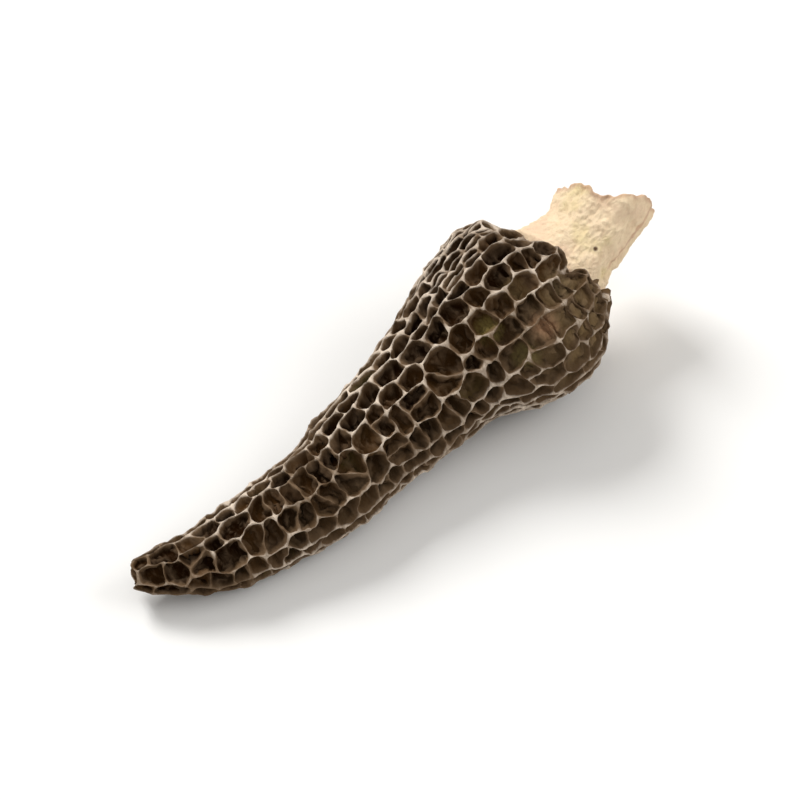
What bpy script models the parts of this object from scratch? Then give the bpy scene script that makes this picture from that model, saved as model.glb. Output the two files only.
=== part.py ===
"""Dried morel mushroom, lying on its side: a long cap under a raised net of ridges, and a hollow cut stem.

Metres, +Z up. The cap's tip points along -X and the stem along +X. The origin is on the surface that the mushroom
lies on, under the middle of its box. The solids are laid out in millimetres along a spine that runs from the tip
of the cap through the stem, and are scaled to metres at the end.
"""

import math
import random

import bmesh
import bpy
import numpy as np
from mathutils import Matrix, Vector, noise
from mathutils.geometry import delaunay_2d_cdt

MM = 0.001
SEED = 11
FULL_TURN = 2 * math.pi

# The spine: (distance along X from the cap's tip, sideways, height), in millimetres
SPINE = [
    (0.0, 5.1, 4.6),
    (5.0, 2.2, 4.3),
    (12.0, -0.2, 4.4),
    (20.0, -1.3, 4.9),
    (28.0, -1.6, 5.8),
    (36.0, -0.3, 6.6),
    (44.0, 0.4, 7.7),
    (52.0, 1.4, 9.5),
    (60.0, 1.1, 11.2),
    (66.0, 1.5, 12.3),
    (70.0, 2.4, 13.2),
    (75.0, 3.6, 15.0),
    (80.0, 5.2, 17.4),
]
CURVE_SAMPLES = 600

# The cap's outline: (distance along the spine, radius), in millimetres, from the tip to the edge at the stem
CAP_OUTLINE = [
    (0.0, 0.2),
    (0.5, 1.0),
    (2.3, 2.2),
    (6.0, 3.7),
    (13.0, 5.2),
    (21.0, 6.1),
    (29.0, 6.9),
    (37.0, 7.6),
    (45.2, 8.5),
    (50.4, 9.6),
    (55.0, 11.3),
    (58.8, 12.5),
    (62.0, 12.9),
    (64.5, 12.1),
    (66.0, 10.3),
    (66.6, 8.3),
]
CAP_HEIGHT_SHARE = 0.92
# On its upper side the edge at the stem stands out in a lobe: how far, round which turn, and from where on
EDGE_LOBE = 2.0
EDGE_LOBE_TURN = 2.1
EDGE_LOBE_START = 52.0
# Slow swellings and hollows round the cap: (lobes, share of the radius, phase, change of phase per millimetre)
CAP_SWELLINGS = [(2, 0.050, 0.6, 0.050), (3, 0.035, 2.1, -0.070), (5, 0.018, 4.0, 0.110)]

# The net's pits stand in columns along the cap: (distance along the spine, columns from there on)
COLUMN_FORKS = [(0.0, 8), (6.0, 11), (18.0, 14), (28.0, 16), (36.0, 18), (43.0, 21), (48.0, 26), (54.0, 32)]
PIT_STRETCH = 1.25
# On two opposite sides of the cap the columns crowd together: by what share, round which turn, and from where on
# along the spine they do so in full
CROWDING = 0.34
CROWDING_TURN = 0.75
CROWDING_FULL = 30.0
FIRST_PIT_RADIUS = 2.4
TIP_GHOSTS = 3
STEM_GHOST_SHIFT = 0.1
# Shares of a column's width: how far a pit strays, and how near two pits can stand without growing into one
TURN_JITTER = 0.20
ROW_JITTER = 0.24
NEAREST = 0.66
# How closely the ridges follow a ladder
STRAIGHTNESS = 0.75
# Millimetres across and into the skin
WELD = 0.01
CREST_HALF = 0.28
CREST_DROP = 0.16
WALL_FOOT = 0.72
PIT_DEPTH = 1.75
CREST_WANDER = 0.30
CREST_WANDER_PER_MM = 0.21
# Shares of the way to the pit's middle, of the way to the spine, and of the pit's depth
MOST_DRAWN_IN = 0.45
DEEPEST_SHARE = 0.30
PIT_DEPTH_SPREAD = 0.14
FLOOR_DIP = 0.15

# Where the cap takes the stem's root
SOCKET_RADIUS = 7.55
SOCKET_FLOOR = 61.2

# The stem's outline: (distance along the spine, radius), in millimetres, from the root to the cut end
STEM_OUTLINE = [
    (61.5, 6.6),
    (62.8, 6.9),
    (66.8, 6.95),
    (68.4, 6.8),
    (70.3, 6.1),
    (72.8, 5.6),
    (75.6, 5.7),
    (77.8, 6.0),
    (78.9, 6.3),
]
STEM_HEIGHT_SHARE = 0.86
STEM_SIDES = 36
STEM_RINGS = 17
# Folds along the stem: (lobes, share of the radius, phase, change of phase per millimetre)
STEM_FOLDS = [(2, 0.050, 1.0, 0.030), (3, 0.045, 0.4, 0.060), (7, 0.022, 2.0, 0.090), (11, 0.012, 5.0, -0.120)]
FOLDS_START, FOLDS_FULL = 67.2, 71.2
# The stem flares towards one side where it leaves the cap: how it grows and fades along the spine
FLARE_ALONG, FLARE_SHARE = (68.3, 69.5, 71.2, 73.6), (0.0, 0.21, 0.14, 0.0)
FLARE_TURN = 0.6
# The cut end: (lobes, how far it moves the edge along the spine in millimetres, phase)
CUT_EDGE = [(1, 1.9, 3.2), (3, 0.40, 4.1), (5, 0.30, 0.2), (8, 0.12, 2.6)]
STEM_WALL = 0.7
HOLLOW_FLOOR = 66.8
HOLLOW_RINGS = 9
HOLLOW_FLOOR_SHARE = 0.85

CAP_COLOUR = (0.055, 0.038, 0.026, 1.0)
CAP_ROUGHNESS = 0.8
STEM_COLOUR = (0.72, 0.58, 0.38, 1.0)
STEM_ROUGHNESS = 0.85
SMOOTH_ANGLE = math.radians(35)


def clear_scene():
    """Removes every object of the scene."""
    for old in list(bpy.data.objects):
        bpy.data.objects.remove(old, do_unlink=True)


def make_material(name, colour, roughness):
    """A plain dry finish of one colour."""
    material = bpy.data.materials.new(name)
    material.use_nodes = True
    shader = material.node_tree.nodes["Principled BSDF"]
    shader.inputs["Base Color"].default_value = colour
    shader.inputs["Roughness"].default_value = roughness
    shader.inputs["Metallic"].default_value = 0.0
    material.diffuse_color = colour
    return material


def smooth_curve(points, position):
    """The point at a position, counted in spans, on a Catmull-Rom curve through the points."""
    last = len(points) - 1
    span = min(int(position), last - 1)
    before, start, end, after = (Vector(points[min(max(span + step, 0), last)]) for step in (-1, 0, 1, 2))
    share = position - span
    leaving = (end - before) / 2
    arriving = (after - start) / 2
    return (
        start * (2 * share**3 - 3 * share**2 + 1)
        + end * (3 * share**2 - 2 * share**3)
        + leaving * (share**3 - 2 * share**2 + share)
        + arriving * (share**3 - share**2)
    )


def sampled(points):
    """The smooth curve through the points, as an array with one row for each sample."""
    spans = len(points) - 1
    return np.array([smooth_curve(points, spans * i / (CURVE_SAMPLES - 1)) for i in range(CURVE_SAMPLES)])


SPINE_CURVE = sampled(SPINE)
SPINE_SLOPES = np.gradient(SPINE_CURVE, SPINE_CURVE[:, 0], axis=0)
STEM_CURVE = sampled(STEM_OUTLINE)


def spine_frame(along):
    """(centre, sideways, up) of the spine at a distance along X."""
    centre = Vector([np.interp(along, SPINE_CURVE[:, 0], SPINE_CURVE[:, axis]) for axis in range(3)])
    tangent = Vector([np.interp(along, SPINE_CURVE[:, 0], SPINE_SLOPES[:, axis]) for axis in range(3)]).normalized()
    centre += tangent * (along - centre.x)
    sideways = Vector((0, 0, 1)).cross(tangent).normalized()
    return centre, sideways, tangent.cross(sideways)


def round_spine(along, turn, radius, height_share):
    """The point at a turn round the spine, counted from +Y upwards, and at a radius from it."""
    centre, sideways, up = spine_frame(along)
    return centre + sideways * (radius * math.cos(turn)) + up * (radius * height_share * math.sin(turn))


def swell(lobes, turn, along):
    """The factor by which the lobes of a list change a radius."""
    return 1 + sum(share * math.cos(count * turn + phase + change * along) for count, share, phase, change in lobes)


class Strip:
    """The cap's skin unrolled to a strip, turn by height, in which every pit is as tall as it is wide.

    The real pits are PIT_STRETCH times as long as they are wide, so a height is the way along the outline, counted
    in radii, over PIT_STRETCH."""

    def __init__(self, outline):
        points = sampled(outline)
        self.along, self.radius = points[:, 0], points[:, 1]
        steps = np.hypot(np.diff(self.along), np.diff(self.radius))
        middle = (self.radius[1:] + self.radius[:-1]) / 2
        self.height = np.concatenate([[0.0], np.cumsum(steps / middle / PIT_STRETCH)])

    def along_at(self, height):
        """The distance along the spine at a height of the strip."""
        return float(np.interp(height, self.height, self.along))

    def first_height(self, radius):
        """The lowest height of the strip, counted from the tip, that has this radius."""
        widest = self.radius.argmax()
        return float(np.interp(radius, self.radius[:widest], self.height[:widest]))

    def point(self, turn, height):
        """The point of the cap's skin at a turn and a height of the strip."""
        along = self.along_at(height)
        crowding = CROWDING * min(along / CROWDING_FULL, 1.0)
        turn -= crowding / 2 * math.sin(2 * (turn - CROWDING_TURN))
        radius = float(np.interp(height, self.height, self.radius)) * swell(CAP_SWELLINGS, turn, along)
        near_edge = max(along - EDGE_LOBE_START, 0.0) / (self.along[-1] - EDGE_LOBE_START)
        along += EDGE_LOBE * (near_edge * max(math.cos(turn - EDGE_LOBE_TURN), 0.0)) ** 2
        return round_spine(along, turn, radius, CAP_HEIGHT_SHARE)


def columns_at(along):
    """How many columns of pits stand round the cap at a distance along the spine."""
    return max(count for start, count in COLUMN_FORKS if start <= along)


def spacing(pit, other):
    """How far apart two points of the strip are, the shorter way round the cap."""
    return math.hypot((pit.x - other.x + math.pi) % FULL_TURN - math.pi, pit.y - other.y)


def pit_centres(strip):
    """The strip's points at the middle of each pit, and the ghosts past both ends that only bound the last pits."""
    draw = random.Random(SEED)
    height, end = strip.first_height(FIRST_PIT_RADIUS), strip.height[-1]
    below = height - FULL_TURN / columns_at(0)
    ghosts = [Vector((FULL_TURN * i / TIP_GHOSTS, below)) for i in range(TIP_GHOSTS)]
    pits = []
    while True:
        columns = columns_at(strip.along_at(height))
        pitch = FULL_TURN / columns
        if height + pitch > end:
            break
        for column in range(columns):
            turn = pitch * (column + draw.uniform(-TURN_JITTER, TURN_JITTER))
            row = height + pitch * (column % 2 / 2 + draw.uniform(-ROW_JITTER, ROW_JITTER))
            pit = Vector((turn, row))
            if all(spacing(pit, other) >= NEAREST * pitch for other in pits):
                pits.append(pit)
        height += pitch
    for column in range(columns):
        ghosts.append(Vector((pitch * column, end + pitch * (column % 2 / 2 - STEM_GHOST_SHIFT))))
    return pits, ghosts


def junction(pits):
    """Where the three ridges between three pits meet: between their middle and the corner of a ladder.

    In a ladder the two pits of one column have a rung between them, which meets the straight ridge that parts them
    from the third pit's column. The less the three stand in two clear columns, the nearer it is to their middle."""
    first, second, third = sorted(pits, key=lambda pit: pit.x)
    gaps = second.x - first.x, third.x - second.x
    mates, lone = ((first, second), third) if gaps[0] < gaps[1] else ((second, third), first)
    rung = (mates[0] + mates[1]) / 2
    ladder = Vector(((rung.x + lone.x) / 2, rung.y))
    clearness = 1 - min(gaps) / max(gaps)
    return ((first + second + third) / 3).lerp(ladder, STRAIGHTNESS * clearness)


def net_cells(strip):
    """The cells of the net, each a list of the strip's points round one pit: the dual of a Delaunay mesh."""
    pits, ghosts = pit_centres(strip)
    laid_out = [pit + Vector((FULL_TURN * copy, 0)) for copy in (0, -1, 1) for pit in pits + ghosts]
    _, _, triangles, origins, _, _ = delaunay_2d_cdt(laid_out, [], [], 0, 1e-6)
    corners_of = {}
    for triangle in triangles:
        around = [origins[corner][0] for corner in triangle]
        for pit in around:
            corners_of.setdefault(pit, []).append(junction([laid_out[index] for index in around]))
    cells = []
    for pit in range(len(pits)):
        centre = laid_out[pit]
        cells.append(sorted(corners_of[pit], key=lambda c: math.atan2(c.y - centre.y, c.x - centre.x)))
    return cells


def crest_mesh():
    """A bmesh with one flat face for each cell, its corners on the crests of the net and none below the surface."""
    strip = Strip(CAP_OUTLINE)
    bm = bmesh.new()
    for cell in net_cells(strip):
        bm.faces.new([bm.verts.new(strip.point(corner.x, corner.y)) for corner in cell])
    bmesh.ops.remove_doubles(bm, verts=bm.verts, dist=WELD)
    tip_reach = SPINE[2][0]
    tip_edges = [edge for edge in bm.edges if edge.is_boundary and edge.verts[0].co.x < tip_reach]
    tip = bmesh.ops.contextual_create(bm, geom=tip_edges)["faces"][0]
    tip.normal_update()
    if tip.normal.x > 0:
        tip.normal_flip()
    bm.normal_update()
    for vertex in bm.verts:
        vertex.co += vertex.normal * CREST_WANDER * noise.noise(vertex.co * CREST_WANDER_PER_MM)
        vertex.co.z = max(vertex.co.z, 0.0)
    bm.normal_update()
    return bm


def sink_pits(bm):
    """Extrudes every cell that isn't pressed flat into a pit: a narrow crest, a wall and a dished floor."""
    draw = random.Random(SEED)
    depth = bm.faces.layers.float.new("depth")
    pits = [cell for cell in bm.faces if any(vertex.co.z > 0.0 for vertex in cell.verts)]
    for pit in pits:
        middle = pit.calc_center_median()
        spine_distance = (middle - spine_frame(middle.x)[0]).length
        spread = 1 + draw.uniform(-PIT_DEPTH_SPREAD, PIT_DEPTH_SPREAD)
        pit[depth] = min(PIT_DEPTH, DEEPEST_SHARE * spine_distance) * spread
    pits = step_inwards(bm, pits, CREST_HALF, lambda pit: CREST_DROP)
    pits = step_inwards(bm, pits, WALL_FOOT - CREST_HALF, lambda pit: pit[depth])
    for pit in pits:
        bmesh.ops.poke(bm, faces=[pit], offset=-FLOOR_DIP * pit[depth])


def step_inwards(bm, cells, sideways, depth_of):
    """Extrudes each cell by its depth, its corners drawn sideways towards its middle. Returns the new faces."""
    grown = bmesh.ops.extrude_discrete_faces(bm, faces=cells)["faces"]
    bm.normal_update()
    for cell in grown:
        middle, sunk = cell.calc_center_median(), -cell.normal * depth_of(cell)
        for vertex in cell.verts:
            to_middle = middle - vertex.co
            vertex.co += to_middle * min(sideways / to_middle.length, MOST_DRAWN_IN) + sunk
    bm.normal_update()
    return grown


def extrude_ring(bm, edges, place):
    """Extrudes a closed ring of edges, moves each new vertex to where place puts it, and returns the new edges."""
    grown = bmesh.ops.extrude_edge_only(bm, edges=edges)["geom"]
    for vertex in (item for item in grown if isinstance(item, bmesh.types.BMVert)):
        vertex.co = place(vertex)
    return [item for item in grown if isinstance(item, bmesh.types.BMEdge) and item.is_boundary]


def socket_point(vertex, along):
    """The point of the socket's wall at a vertex's turn and at a distance along the spine."""
    centre, sideways, up = spine_frame(vertex.co.x)
    outwards = vertex.co - centre
    turn = math.atan2(outwards.dot(up) / CAP_HEIGHT_SHARE, outwards.dot(sideways))
    return round_spine(along, turn, SOCKET_RADIUS, CAP_HEIGHT_SHARE)


def cut_socket(bm):
    """Closes the cap behind its scalloped edge: a lip inwards to the socket, the socket's wall and its floor."""
    edges = [edge for edge in bm.edges if edge.is_boundary]
    edges = extrude_ring(bm, edges, lambda vertex: socket_point(vertex, vertex.co.x))
    edges = extrude_ring(bm, edges, lambda vertex: socket_point(vertex, SOCKET_FLOOR))
    bmesh.ops.contextual_create(bm, geom=edges)


def make_cap():
    """The cap: the raised net of ridges over a solid body, with a socket for the stem's root."""
    bm = crest_mesh()
    sink_pits(bm)
    cut_socket(bm)
    return finished(bm, "cap", make_material("dried_cap", CAP_COLOUR, CAP_ROUGHNESS))


def stem_point(share, turn, start, wall):
    """The point of the stem's skin, or a wall's thickness inside it, at a share of the way to the ragged cut end."""
    cut = sum(length * math.cos(lobes * turn + phase) for lobes, length, phase in CUT_EDGE)
    along = start + (STEM_OUTLINE[-1][0] - start) * share + cut * share**3
    folded = min(max((along - FOLDS_START) / (FOLDS_FULL - FOLDS_START), 0.0), 1.0)
    radius = float(np.interp(along, STEM_CURVE[:, 0], STEM_CURVE[:, 1]))
    radius *= 1 + folded * (swell(STEM_FOLDS, turn, along) - 1)
    flare = float(np.interp(along, FLARE_ALONG, FLARE_SHARE))
    radius *= 1 + flare * max(math.cos(turn - FLARE_TURN), 0.0) ** 2
    if wall and not share:
        radius *= HOLLOW_FLOOR_SHARE
    return round_spine(along, turn, radius - wall, STEM_HEIGHT_SHARE)


def make_stem():
    """The stem: a folded tube that flares to a ragged cut end, hollow down to its root."""
    root = STEM_OUTLINE[0][0]
    bm = bmesh.new()
    turn = bm.verts.layers.float.new("turn")
    circle = bmesh.ops.create_circle(bm, cap_ends=True, segments=STEM_SIDES, radius=1.0)["verts"]
    for side, vertex in enumerate(circle):
        vertex[turn] = FULL_TURN * side / STEM_SIDES
        vertex.co = stem_point(0, vertex[turn], root, 0)
    outside = [(ring / STEM_RINGS, root, 0) for ring in range(1, STEM_RINGS + 1)]
    inside = [(ring / HOLLOW_RINGS, HOLLOW_FLOOR, STEM_WALL) for ring in range(HOLLOW_RINGS, -1, -1)]
    edges = list(bm.edges)
    for share, start, wall in outside + inside:
        edges = extrude_ring(bm, edges, lambda vertex: stem_point(share, vertex[turn], start, wall))
    bmesh.ops.contextual_create(bm, geom=edges)
    return finished(bm, "stem", make_material("dried_stem", STEM_COLOUR, STEM_ROUGHNESS))


def finished(bm, name, material):
    """A mesh object in metres from a bmesh in millimetres, triangulated and shaded smooth up to an angle."""
    bmesh.ops.recalc_face_normals(bm, faces=bm.faces)
    bmesh.ops.triangulate(bm, faces=bm.faces)
    bmesh.ops.transform(bm, matrix=Matrix.Scale(MM, 4), verts=bm.verts)
    mesh = bpy.data.meshes.new(name)
    bm.to_mesh(mesh)
    bm.free()
    mesh.materials.append(material)
    mesh.shade_smooth()
    mesh.set_sharp_from_angle(angle=SMOOTH_ANGLE)
    return bpy.data.objects.new(name, mesh)


def stand_on_origin(parts):
    """Moves the meshes together so that the origin is under the middle of their box, on the surface."""
    corners = np.array([vertex.co for part in parts for vertex in part.data.vertices])
    low, high = corners.min(axis=0), corners.max(axis=0)
    middle = (low + high) / 2
    for part in parts:
        part.data.transform(Matrix.Translation((-middle[0], -middle[1], -low[2])))


def main():
    clear_scene()
    parts = [make_cap(), make_stem()]
    stand_on_origin(parts)
    collection = bpy.data.collections.new("dried_morel")
    bpy.context.scene.collection.children.link(collection)
    for part in parts:
        collection.objects.link(part)


main()
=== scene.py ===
"""A dried morel mushroom on a pale floor: a long dark cap under a raised net of ridges, and a cream stem.

Lengths are in millimetres where nothing else is said. The forms are laid out along a spine that runs from
the tip of the cap through the stem, and are moved to the row's frame, in metres, when their meshes are made.
"""

import logging
import math
import random
from dataclasses import dataclass
from enum import Enum

import bmesh
import bpy
import numpy as np
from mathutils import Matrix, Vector, noise
from mathutils.geometry import delaunay_2d_cdt


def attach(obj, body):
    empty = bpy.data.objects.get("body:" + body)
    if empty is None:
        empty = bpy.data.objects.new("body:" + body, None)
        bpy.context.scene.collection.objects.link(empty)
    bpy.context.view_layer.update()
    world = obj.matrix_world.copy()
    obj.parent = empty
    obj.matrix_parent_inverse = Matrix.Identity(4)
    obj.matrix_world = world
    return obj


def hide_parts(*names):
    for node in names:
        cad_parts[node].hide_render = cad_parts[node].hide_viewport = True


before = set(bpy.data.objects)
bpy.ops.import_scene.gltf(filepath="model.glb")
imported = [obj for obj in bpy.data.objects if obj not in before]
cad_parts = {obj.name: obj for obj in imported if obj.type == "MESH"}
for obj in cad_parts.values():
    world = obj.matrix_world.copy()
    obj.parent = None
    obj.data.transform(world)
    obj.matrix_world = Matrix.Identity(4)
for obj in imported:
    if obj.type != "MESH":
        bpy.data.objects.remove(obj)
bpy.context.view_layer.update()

MM = 0.001
SEED = 11
FULL_TURN = 2 * math.pi
SPINE_START = Vector((-41.796, -0.913, 0.0)) * MM  # where the spine's own origin is in the row's frame
AXIS_STEP = (7.31, 3.57)  # how far apart the noises of a shift's three axes are drawn
SAME_POINT = 1e-6  # how near two points are taken for one
NOISE_MIDDLE = 0.5  # of a noise texture, whose values run from 0 to 1
NODE_SPACING = 180  # between the nodes of a tree, in the editor's own units
Socket = bpy.types.NodeSocket
log = logging.getLogger("dried_morel")


class Slot(Enum):
    """The record's material slots."""

    CAP = "dried_cap"
    STEM = "dried_stem"


class Mark(Enum):
    """The attributes that the meshes carry for their geometry and their finishes."""

    DEPTH = "depth"
    HUE = "hue"
    WORN = "worn"
    MIDDLE = "middle"
    OUT = "out"
    SUNK = "sunk"
    RIM = "rim"
    INSIDE = "inside"
    VEIN = "vein"


@dataclass
class Graph:
    """A node tree that is being wired.

    Args:
        tree: The tree that new nodes go to.
    """

    tree: bpy.types.NodeTree

    def feed(self, socket: Socket, value: object) -> None:
        """Fills an input.

        Args:
            socket: The input.
            value: The output that it is linked to, or its plain value.
        """
        if isinstance(value, Socket):
            self.tree.links.new(value, socket)
        else:
            socket.default_value = value

    def add(self, kind: str, values: dict | None = None, **settings: object) -> bpy.types.Node:
        """Adds a node.

        Args:
            kind: The node's type.
            values: What each input gets, by name or index: a socket to link or a plain value.
            settings: The node's own properties.

        Returns:
            The new node.
        """
        node = self.tree.nodes.new(kind)
        node.location.x = NODE_SPACING * len(self.tree.nodes)
        for name, setting in settings.items():
            setattr(node, name, setting)
        for key, value in (values or {}).items():
            called = [socket for socket in node.inputs if socket.name == key and socket.enabled]
            self.feed(called[0] if called else node.inputs[key], value)
        return node

    def math(self, operation: str, *values: object) -> Socket:
        """Adds a Math node and returns its result."""
        return self.add("ShaderNodeMath", dict(enumerate(values)), operation=operation).outputs[0]

    def vector(self, operation: str, *values: object, output: str = "Vector") -> Socket:
        """Adds a Vector Math node and returns its result."""
        return self.add("ShaderNodeVectorMath", dict(enumerate(values)), operation=operation).outputs[output]

    def scaled(self, vector: Socket, scale: object) -> Socket:
        """Adds a Vector Math node that scales a vector and returns it."""
        values = {0: vector, "Scale": scale}
        return self.add("ShaderNodeVectorMath", values, operation="SCALE").outputs["Vector"]

    def weighted(self, *terms: tuple) -> Socket:
        """Adds up values by their weights.

        Args:
            terms: (value, weight) pairs.

        Returns:
            The sum.
        """
        total = 0.0
        for value, weight in terms:
            total = self.math("MULTIPLY_ADD", value, weight, total)
        return total

    def parts(self, vector: Socket) -> list[Socket]:
        """The three parts of a vector."""
        return list(self.add("ShaderNodeSeparateXYZ", {0: vector}).outputs)

    def noise(
        self, vector: object, scale: object, detail: float, roughness: float = 0.5, output: object = 0
    ) -> Socket:
        """Adds a seeded noise texture and returns its value or colour."""
        values = {"Vector": vector, "Scale": scale, "Detail": detail, "Roughness": roughness, "W": SEED}
        return self.add("ShaderNodeTexNoise", values, noise_dimensions="4D").outputs[output]

    def ease(
        self, value: object, start: object, end: object, low: float = 0.0, high: float = 1.0
    ) -> Socket:
        """Adds a smooth step from low to high while a value goes from start to end, and returns it."""
        values = {"Value": value, "From Min": start, "From Max": end, "To Min": low, "To Max": high}
        return self.add("ShaderNodeMapRange", values, interpolation_type="SMOOTHSTEP").outputs["Result"]

    def mix(self, share: object, first: object, second: object) -> Socket:
        """Adds a colour mix and returns the colour."""
        return self.add("ShaderNodeMix", {0: share, 6: first, 7: second}, data_type="RGBA").outputs[2]

    def mark(self, mark: Mark) -> Socket:
        """The value of one of the mesh's attributes, in a material."""
        return self.add("ShaderNodeAttribute", attribute_name=mark.value).outputs["Fac"]

    def field(self, mark: Mark, kind: str = "FLOAT") -> Socket:
        """The field of one of the mesh's attributes, in Geometry Nodes."""
        return self.add("GeometryNodeInputNamedAttribute", {"Name": mark.value}, data_type=kind).outputs[0]

    def store(
        self, mesh: Socket, mark: Mark, value: object, chosen: object = True, **settings: object
    ) -> Socket:
        """Stores a value as one of the mesh's attributes and returns the mesh."""
        values = {"Geometry": mesh, "Selection": chosen, "Name": mark.value, "Value": value}
        return self.add("GeometryNodeStoreNamedAttribute", values, **settings).outputs[0]


def new_tree(name: str, kind: str, inputs: dict, outputs: dict) -> tuple[Graph, dict]:
    """Makes a node group.

    Args:
        name: Its name.
        kind: Its type.
        inputs: The types of its inputs, by name.
        outputs: The types of its outputs, by name.

    Returns:
        Its graph, and what its inputs give inside it.
    """
    tree = bpy.data.node_groups.new(name, kind)
    for way, sockets in (("INPUT", inputs), ("OUTPUT", outputs)):
        for title, socket_type in sockets.items():
            tree.interface.new_socket(title, in_out=way, socket_type=f"NodeSocket{socket_type}")
    graph = Graph(tree)
    return graph, graph.add("NodeGroupInput").outputs


def new_material(name: str) -> tuple[bpy.types.Material, Graph, bpy.types.Node]:
    """Makes a material with a Principled shader.

    Args:
        name: Its name.

    Returns:
        The material, its graph and its shader.
    """
    material = bpy.data.materials.new(name)
    material.use_nodes = True
    return material, Graph(material.node_tree), material.node_tree.nodes["Principled BSDF"]


def new_object(name: str, data: bpy.types.ID) -> bpy.types.Object:
    """Puts an object in the scene.

    Args:
        name: Its name.
        data: The mesh, light or camera that it shows.

    Returns:
        The object.
    """
    made = bpy.data.objects.new(name, data)
    bpy.context.scene.collection.objects.link(made)
    return made


def catmull_rom(points: tuple, samples: int = 600) -> np.ndarray:
    """Samples a smooth curve through points.

    Args:
        points: The points that the curve goes through.
        samples: How many points the result has.

    Returns:
        An array with one row for each sample.
    """
    given = np.array(points, float)
    last = len(given) - 1
    position = np.linspace(0, last, samples)
    span = np.minimum(position.astype(int), last - 1)
    share = (position - span)[:, None]
    before, start, end, after = (given[np.clip(span + step, 0, last)] for step in (-1, 0, 1, 2))
    return (
        start * (2 * share**3 - 3 * share**2 + 1)
        + end * (3 * share**2 - 2 * share**3)
        + (end - before) / 2 * (share**3 - 2 * share**2 + share)
        + (after - start) / 2 * (share**3 - share**2)
    )


def unit(vectors: np.ndarray) -> np.ndarray:
    """Vectors made one long."""
    return vectors / np.linalg.norm(vectors, axis=-1, keepdims=True)


def swell(lobes: tuple, turn: object, along: object) -> object:
    """The factor by which (lobes, share, phase, change of phase per millimetre) change a radius."""
    waves = (share * np.cos(count * turn + phase + change * along) for count, share, phase, change in lobes)
    return 1 + sum(waves)


def shifted(lobes: tuple, turn: object) -> object:
    """How far (lobes, distance, phase) move an edge along the spine at a turn."""
    return sum(distance * np.cos(count * turn + phase) for count, distance, phase in lobes)


def smooth_noise(point: Vector, amount: float, per_mm: float) -> Vector:
    """A seeded shift that changes slowly from point to point.

    Args:
        point: The point to shift.
        amount: About how far the largest shifts go.
        per_mm: How fast the shift changes.

    Returns:
        The shift.
    """
    step_x, step_y = AXIS_STEP
    spots = (point * per_mm + Vector((SEED + step_x * axis, step_y * axis, 0)) for axis in range(3))
    return Vector([noise.noise(spot) for spot in spots]) * amount


@dataclass(frozen=True)
class Spine:
    """The curve through the middle of the mushroom.

    Args:
        points: (distance along X from the cap's tip, sideways, height).
    """

    points: tuple = (
        (0.0, 5.1, 4.6),
        (5.0, 2.2, 4.3),
        (12.0, -0.2, 4.4),
        (20.0, -1.3, 4.9),
        (28.0, -1.6, 5.8),
        (36.0, -0.3, 6.6),
        (44.0, 0.4, 7.7),
        (52.0, 1.4, 9.5),
        (60.0, 1.1, 11.2),
        (66.0, 1.5, 12.3),
        (70.0, 2.4, 13.2),
        (75.0, 3.6, 15.0),
        (80.0, 5.2, 17.4),
    )

    def place(self, along: object, turn: object, radius: object, height_share: float) -> np.ndarray:
        """Points round the spine.

        Args:
            along: Distances along X.
            turn: Turns round the spine, counted from +Y upwards.
            radius: Distances from the spine.
            height_share: How high the section is for its width.

        Returns:
            The points.
        """
        along, turn, radius = np.broadcast_arrays(np.asarray(along, float), turn, radius)
        curve = catmull_rom(self.points)
        slopes = np.gradient(curve, curve[:, 0], axis=0)
        centre, tangent = (
            np.stack([np.interp(along, curve[:, 0], rows[:, axis]) for axis in range(3)], -1)
            for rows in (curve, slopes)
        )
        tangent = unit(tangent)
        centre = centre + tangent * (along - centre[..., 0])[..., None]
        sideways = unit(np.cross((0.0, 0.0, 1.0), tangent))
        up = np.cross(tangent, sideways)
        across = sideways * (radius * np.cos(turn))[..., None]
        return centre + across + up * (radius * height_share * np.sin(turn))[..., None]


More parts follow.
